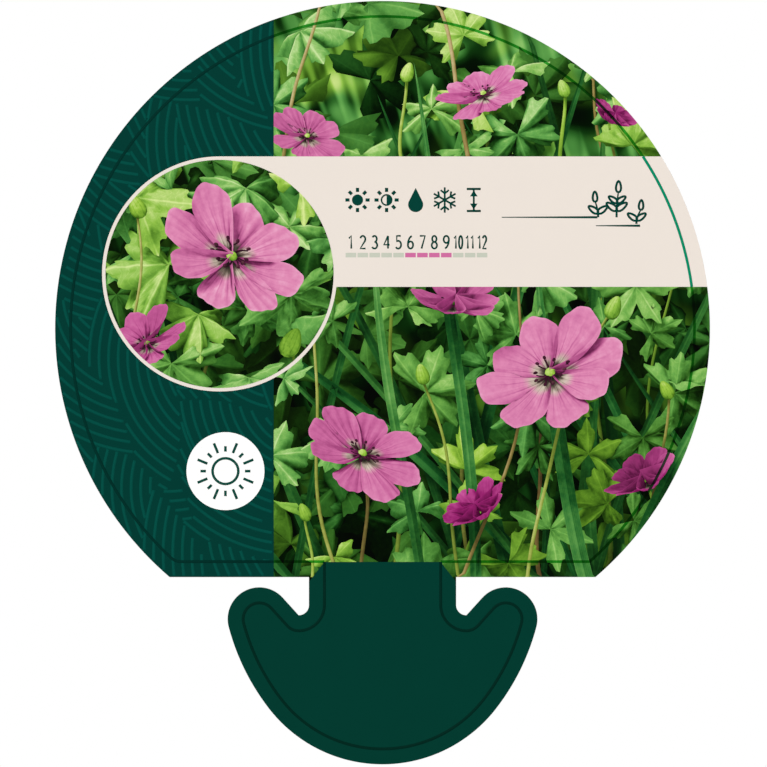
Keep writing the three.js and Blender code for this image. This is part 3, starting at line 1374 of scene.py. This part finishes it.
def lay_care_pictograms(ink):
    """Five signs in a row on the cream band: full sun, half shade, water, frost and height."""
    low, high = 49.6, 52.9
    first_x, pitch = -3.4, 3.95
    stroke = 0.44
    middle = (low + high) / 2
    reach = (high - low) / 2
    sun, half_sun, water, frost, height = [(first_x + pitch * k, middle) for k in range(5)]

    rays_from, small_disc = reach * 0.66, reach * 0.42
    lines = ray_paths(sun, rays_from, reach, 8)
    lines += ray_paths(half_sun, rays_from, reach, 8) + [ring_path(half_sun, small_disc, 0.5)]
    lines += snow_paths(frost, reach * 1.04)
    shapes = [circle(sun, reach * 0.46, step=9), circle(half_sun, small_disc, -90, 90, 9)]
    shapes.append(drop_shape(water, high - low))

    bar, bar_half, bar_swell, shaft_swell = reach - stroke * 0.35, 0.95, 0.7, 0.6
    arrow_tip, arrow_foot, arrow_half = reach - 0.36, reach - 1.16, 0.52
    x = height[0]
    lines.append([(x, middle - bar, shaft_swell), (x, middle + bar, shaft_swell)])
    for end in (-1, 1):
        lines.append([(x + side * bar_half, middle + end * bar, bar_swell) for side in (-1, 1)])
        tip, foot = middle + end * arrow_tip, middle + end * arrow_foot
        shapes.append([(x, tip), (x - end * arrow_half, foot), (x + end * arrow_half, foot)])
    draw_lines("care_lines", lines, stroke, FINE_PRINT, ink, ON_CREAM)
    film("care_shapes", shapes, FINE_PRINT, ink, ON_CREAM)


def bow(x, z, half_width, half_height, start, end):
    """Points along an upright ellipse, in degrees."""
    count = math.ceil(abs(end - start) / 15)
    turns = [math.radians(start + (end - start) * i / count) for i in range(count + 1)]
    return [(x + half_width * math.cos(a), z + half_height * math.sin(a)) for a in turns]


# Each digit's strokes, in a cell half as wide as it is high
CELL_WIDTH = 0.5
CELL_PITCH = 0.64
SIX = [bow(0.25, 0.28, 0.23, 0.28, 0, 360), bow(0.47, 0.30, 0.45, 0.71, 104, 180)]
DIGITS = {
    "0": [bow(0.25, 0.50, 0.22, 0.50, 0, 360)],
    "1": [[(0.08, 0.80), (0.28, 1.0), (0.28, 0.0)]],
    "2": [bow(0.25, 0.74, 0.22, 0.26, 165, -35) + [(0.03, 0.0), (0.49, 0.0)]],
    "3": [bow(0.23, 0.76, 0.20, 0.24, 150, -90), bow(0.23, 0.26, 0.24, 0.26, 90, -150)],
    "4": [[(0.37, 0.0), (0.37, 1.0)], [(0.37, 1.0), (0.01, 0.30), (0.51, 0.30)]],
    "5": [[(0.44, 1.0), (0.09, 1.0)] + bow(0.22, 0.30, 0.25, 0.31, 122, -145)],
    "6": SIX,
    "7": [[(0.02, 1.0), (0.48, 1.0), (0.17, 0.0)]],
    "8": [bow(0.25, 0.76, 0.19, 0.24, 0, 360), bow(0.25, 0.26, 0.23, 0.26, 0, 360)],
    "9": [[(CELL_WIDTH - x, 1.0 - z) for x, z in path] for path in SIX],
}


def number_paths(number, x, z, height, squeeze):
    """The strokes of a number that stands on z, with its middle at x."""
    text = str(number)
    width = CELL_PITCH * len(text) - (CELL_PITCH - CELL_WIDTH)
    paths = []
    for place, digit in enumerate(text):
        left = place * CELL_PITCH - width / 2
        for stroke in DIGITS[digit]:
            paths.append([(x + (left + a) * height * squeeze, z + b * height) for a, b in stroke])
    return paths


def lay_month_strip(ink):
    """The numbers of the twelve months over a row of cells, with the months of bloom filled in pink."""
    cells_low, cell_high = 43.45, 0.62
    numbers_low, number_high, stroke = 44.65, 1.72, 0.25
    first_x, pitch = -4.3, 1.62
    half = pitch / 2 - 0.09
    numbers, cells, bloom = [], [], []
    for month in range(1, 13):
        x = first_x + pitch * (month - 1)
        numbers += number_paths(month, x, numbers_low, number_high, 0.62 if month > 9 else 0.90)
        low, high = cells_low, cells_low + cell_high
        cell = [(x - half, low), (x + half, low), (x + half, high), (x - half, high)]
        (bloom if 6 <= month <= 9 else cells).append(cell)
    draw_lines("month_numbers", numbers, stroke, FINE_PRINT, ink, ON_CREAM)
    pale = flat_ink("month_pale", srgb(196, 200, 184))
    pink = flat_ink("month_pink", srgb(206, 108, 158))
    film("month_cells", cells, FINE_PRINT, pale, ON_CREAM)
    film("month_cells_in_bloom", bloom, FINE_PRINT, pink, ON_CREAM)


def leaf_path(at, turn, size):
    """The closed outline of a small pointed leaf that grows from a point in the direction of an angle."""
    way = way_at(turn)
    side = Vector((-way.y, way.x))
    count = 14
    outline = []
    for i in range(count):
        t = 2 * math.pi * i / count
        along = (1 - math.cos(t)) / 2 * size
        aside = math.sin(t) * size * 0.26 * (1.1 - 0.5 * (1 - math.cos(t)) / 2)
        outline.append(tuple(Vector(at) + way * along + side * aside))
    return outline + outline[:1]


def sprig(foot, height, lean, pairs, leaf):
    """An outlined sprig: a curved stem with pairs of leaves and one at its tip."""

    def on_stem(t):
        return (foot[0] + lean * t * t, foot[1] + height * t)

    upright, spread = math.pi / 2, 0.95
    paths = [[(*on_stem(i / 12), 1.0 - 0.4 * i / 12) for i in range(13)]]
    for k in range(pairs):
        at = on_stem(0.28 + 0.62 * k / pairs)
        for side in (-1, 1):
            paths.append(leaf_path(at, upright - side * spread, leaf * (1.0 - 0.35 * k / pairs)))
    paths.append(leaf_path(on_stem(1.0), upright - lean * 0.1, leaf * 0.9))
    return paths


def swelling_line(x, z, step, steps):
    """A level line that starts thin and gets wider to its end."""
    return [(x + step * i, z, 0.35 + 0.65 * i / steps) for i in range(steps + 1)]


def lay_sprigs(ink):
    """The little line drawing at the right of the cream band: a ground line, and three sprigs on it."""
    ground, under, stroke = 48.9, 47.75, 0.31
    lines = [swelling_line(16.2, ground, 0.5, 26), swelling_line(29.0, under, 0.4, 15)]
    lines += sprig((29.3, ground), 2.1, -0.4, 1, 1.55)
    lines += sprig((31.8, ground), 3.4, 0.25, 2, 1.7)
    lines += sprig((34.5, ground - 0.9), 1.9, 0.6, 1, 1.5)
    draw_lines("sprig_drawing", lines, stroke, FINE_PRINT, ink, ON_CREAM)


def lay_sun_badge():
    """A white disc on the side band, with a sun in fine lines."""
    white = flat_ink("badge_white", srgb(254, 254, 252), 0.01)
    green = flat_ink("badge_green", srgb(14, 72, 60))
    film("sun_badge", [circle(BADGE_CENTRE, BADGE_RADIUS)], FINE_PRINT, white, ON_FLAT)
    disc, rays_from, long_rays, short_rays, stroke = 1.75, 2.65, 4.1, 3.4, 0.36
    lines = [ring_path(BADGE_CENTRE, disc)]
    lines += ray_paths(BADGE_CENTRE, rays_from, long_rays, 8, 22.5)
    lines += ray_paths(BADGE_CENTRE, rays_from, short_rays, 8)
    draw_lines("sun_badge_lines", lines, stroke, BADGE_LINES, green, ON_FLAT)


# ---- The label ----


def clothe_sheet():
    SHEET.data.materials.clear()
    SHEET.data.materials.append(sheet_plastic())


def in_turn(points, centre_x):
    """Points sorted counter-clockwise round a place at the height of the head's centre."""
    return sorted(points, key=lambda p: math.atan2(p[1] - HEAD_CENTRE[1], p[0] - centre_x))


def lay_ground_films():
    """The side band, the ground of the picture beside it, and the tongue's print."""
    hair, overlap = 1e-3, 0.1
    band_middle, rest_middle = -25.0, 8.0
    head_at_edge = math.sqrt(HEAD_RADIUS**2 - (SIDE_BAND_EDGE - HEAD_CENTRE[0]) ** 2) + HEAD_CENTRE[1]
    cut = [(SIDE_BAND_EDGE, 0.0), (SIDE_BAND_EDGE, head_at_edge)]
    head = [(x, z) for x, z in OUTLINE if z > hair or (z > -hair and abs(x) > NECK_HALF + hair)]
    band = [(x, z) for x, z in head if x < SIDE_BAND_EDGE] + cut
    rest = [(x, z) for x, z in head if x > SIDE_BAND_EDGE] + cut
    rest += [(side * NECK_HALF, z) for side in (-1, 1) for z in (0.0, TONGUE_PRINT_FOOT - overlap)]
    band, rest = in_turn(band, band_middle), in_turn(rest, rest_middle)
    film("side_band", [band], FLAT_TOP, flat_ink("band_green", srgb(0, 57, 49)))
    film("picture_ground", [rest], PICTURE_GROUND, blurred_foliage("picture_ground"))

    tongue = [(x, z) for x, z in OUTLINE if z < TONGUE_PRINT_FOOT - hair]
    turn = next(i for i, (x, z) in enumerate(tongue) if x < 0 and tongue[i - 1][0] > 0)
    tongue = tongue[turn:] + tongue[:turn]
    tongue += [(NECK_HALF, TONGUE_PRINT_FOOT), (TONGUE_PRINT_HALF, TONGUE_PRINT_TOP)]
    tongue += [(-TONGUE_PRINT_HALF, TONGUE_PRINT_TOP), (-NECK_HALF, TONGUE_PRINT_FOOT)]
    film("tongue_print", [tongue], FLAT_TOP, flat_ink("tongue_green", srgb(0, 57, 46)))


def lay_cream_band():
    """The band across the head, and in one with it the ring round the inset picture."""

    def turn_at(z, centre, radius):
        """The angle, in degrees, at which the right side of a circle passes a height."""
        return math.degrees(math.asin((z - centre[1]) / radius))

    low, high = (turn_at(z, HEAD_CENTRE, HEAD_RADIUS) for z in (CREAM_BOTTOM, CREAM_TOP))
    right = circle(HEAD_CENTRE, HEAD_RADIUS, low, high)
    ring_radius = INSET_RADIUS + RING_WIDTH
    ring = circle(INSET_CENTRE, ring_radius, 90, 360 + turn_at(CREAM_BOTTOM, INSET_CENTRE, ring_radius))
    film("cream_band", [right + ring], CREAM_FACE, flat_ink("cream", srgb(233, 223, 213), 0.01))


# How much light the dome gives, where a white one would give 1
DOME_LIGHT = 0.60

# Each soft lamp's strength and where it stands: the key at the front left, and a fill at the back right
LAMP_SOFTNESS = math.radians(40)
LAMPS = {"key": (1.17, (-0.35, -0.80, 0.50)), "fill": (0.55, (0.60, 0.70, 0.40))}

# The floor, in metres. It turns white between these distances from the label
FLOOR_LEVEL = -0.085
FLOOR_HALF = 4.0
WHITE_FROM = 0.16
WHITE_AT = 0.40

# A long lens, how wide a strip it sees at the label, and what it looks at, in millimetres
LENS = 135
SENSOR = 36
PICTURE_WIDTH = 104.25
LOOK_AT_X = 0.13
LOOK_AT_Z = 26.31


def build_studio():
    """A white room: a dome that looks white and lights a little less, and two soft lamps."""
    scene = bpy.context.scene
    scene.view_settings.view_transform = "Standard"
    scene.view_settings.look = "None"

    world = bpy.data.worlds.new("studio")
    scene.world = world
    world.use_nodes = True
    g = Graph(world.node_tree)
    seen = g.get("ShaderNodeLightPath", output="Is Camera Ray")
    background = world.node_tree.nodes["Background"]
    background.inputs["Color"].default_value = (1, 1, 1, 1)
    g.feed(background.inputs["Strength"], seen * (1.0 - DOME_LIGHT) + DOME_LIGHT)

    for name, (strength, direction) in LAMPS.items():
        lamp = bpy.data.lights.new(name, "SUN")
        lamp.energy = strength
        lamp.angle = LAMP_SOFTNESS
        holder = bpy.data.objects.new(name, lamp)
        holder.rotation_euler = Vector(direction).to_track_quat("Z", "Y").to_euler()
        scene.collection.objects.link(holder)


def lay_floor():
    """A pale floor that turns pure white some way off from the label, as a sweep of studio paper does."""
    mesh = bpy.data.meshes.new("floor")
    half, level = FLOOR_HALF, FLOOR_LEVEL
    corners = [(-half, -half, level), (half, -half, level), (half, half, level), (-half, half, level)]
    mesh.from_pydata(corners, [], [(0, 1, 2, 3)])
    floor = bpy.data.objects.new("floor", mesh)
    bpy.context.scene.collection.objects.link(floor)
    paper, shader, g = new_material("studio_floor", 0.0)
    shader.inputs["Roughness"].default_value = 0.9
    white = g.smooth(g.measure("LENGTH", g.get("ShaderNodeTexCoord", output="Object")), WHITE_FROM, WHITE_AT)
    g.feed(shader.inputs["Base Color"], g.mix(white, (0.95, 0.95, 0.95, 1), (0, 0, 0, 1)))
    g.feed(shader.inputs["Emission Color"], g.mix(white, (0, 0, 0, 1), (1, 1, 1, 1)))
    shader.inputs["Emission Strength"].default_value = 1.0
    mesh.materials.append(paper)


def place_camera():
    """Level with the label's middle and square to its front."""
    camera = bpy.data.cameras.new("camera")
    camera.lens = LENS
    camera.sensor_width = SENSOR
    camera.clip_start = 0.01
    camera.clip_end = 20
    distance = PICTURE_WIDTH / SENSOR * LENS
    holder = bpy.data.objects.new("camera", camera)
    holder.location = (LOOK_AT_X * MM, (FRONT_Y - distance) * MM, LOOK_AT_Z * MM)
    holder.rotation_euler = (math.pi / 2, 0, 0)
    bpy.context.scene.collection.objects.link(holder)
    bpy.context.scene.camera = holder


clothe_sheet()
lay_ground_films()
KINDS = plant_kinds()
plant_picture(KINDS)
lay_cream_band()
plant_inset(KINDS)
lay_waves()
lay_keyline()
lay_sun_badge()
LETTERING = flat_ink("lettering_green", srgb(2, 62, 52))
lay_care_pictograms(LETTERING)
lay_month_strip(LETTERING)
lay_sprigs(LETTERING)
build_studio()
lay_floor()
place_camera()
